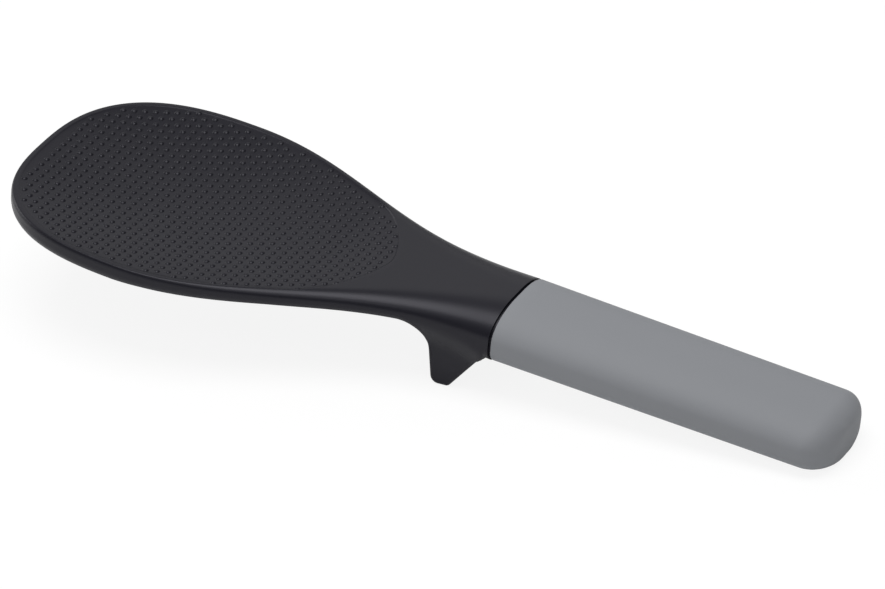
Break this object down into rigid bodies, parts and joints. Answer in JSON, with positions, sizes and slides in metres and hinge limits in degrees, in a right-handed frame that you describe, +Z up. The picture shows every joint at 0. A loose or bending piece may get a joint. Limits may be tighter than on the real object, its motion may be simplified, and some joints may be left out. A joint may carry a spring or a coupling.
{
  "type": "rice paddle",
  "caption": "Rice paddle with a dished, pimpled egg-shaped blade, a foot under the neck that keeps the blade off the worktop, and a weighted soft grip.",
  "frame": {"origin": "middle of the paddle's box at the level of the worktop it rests on", "axes": "+X from the blade's tip to the grip's end along the worktop, +Y across the paddle, +Z up, with the paddle resting on its foot and on the end of its grip"},
  "size_m": [0.2488, 0.083, 0.0386],
  "materials": {
    "black_nylon": "satin moulded nylon with a fine grain",
    "grey_soft_touch": "matt soft-touch skin",
    "steel": "sawn and tumbled bar"
  },
  "bodies": {
    "root": {"head": "black_nylon", "grip": "grey_soft_touch", "counterweight": "steel"}
  },
  "joints": []
}
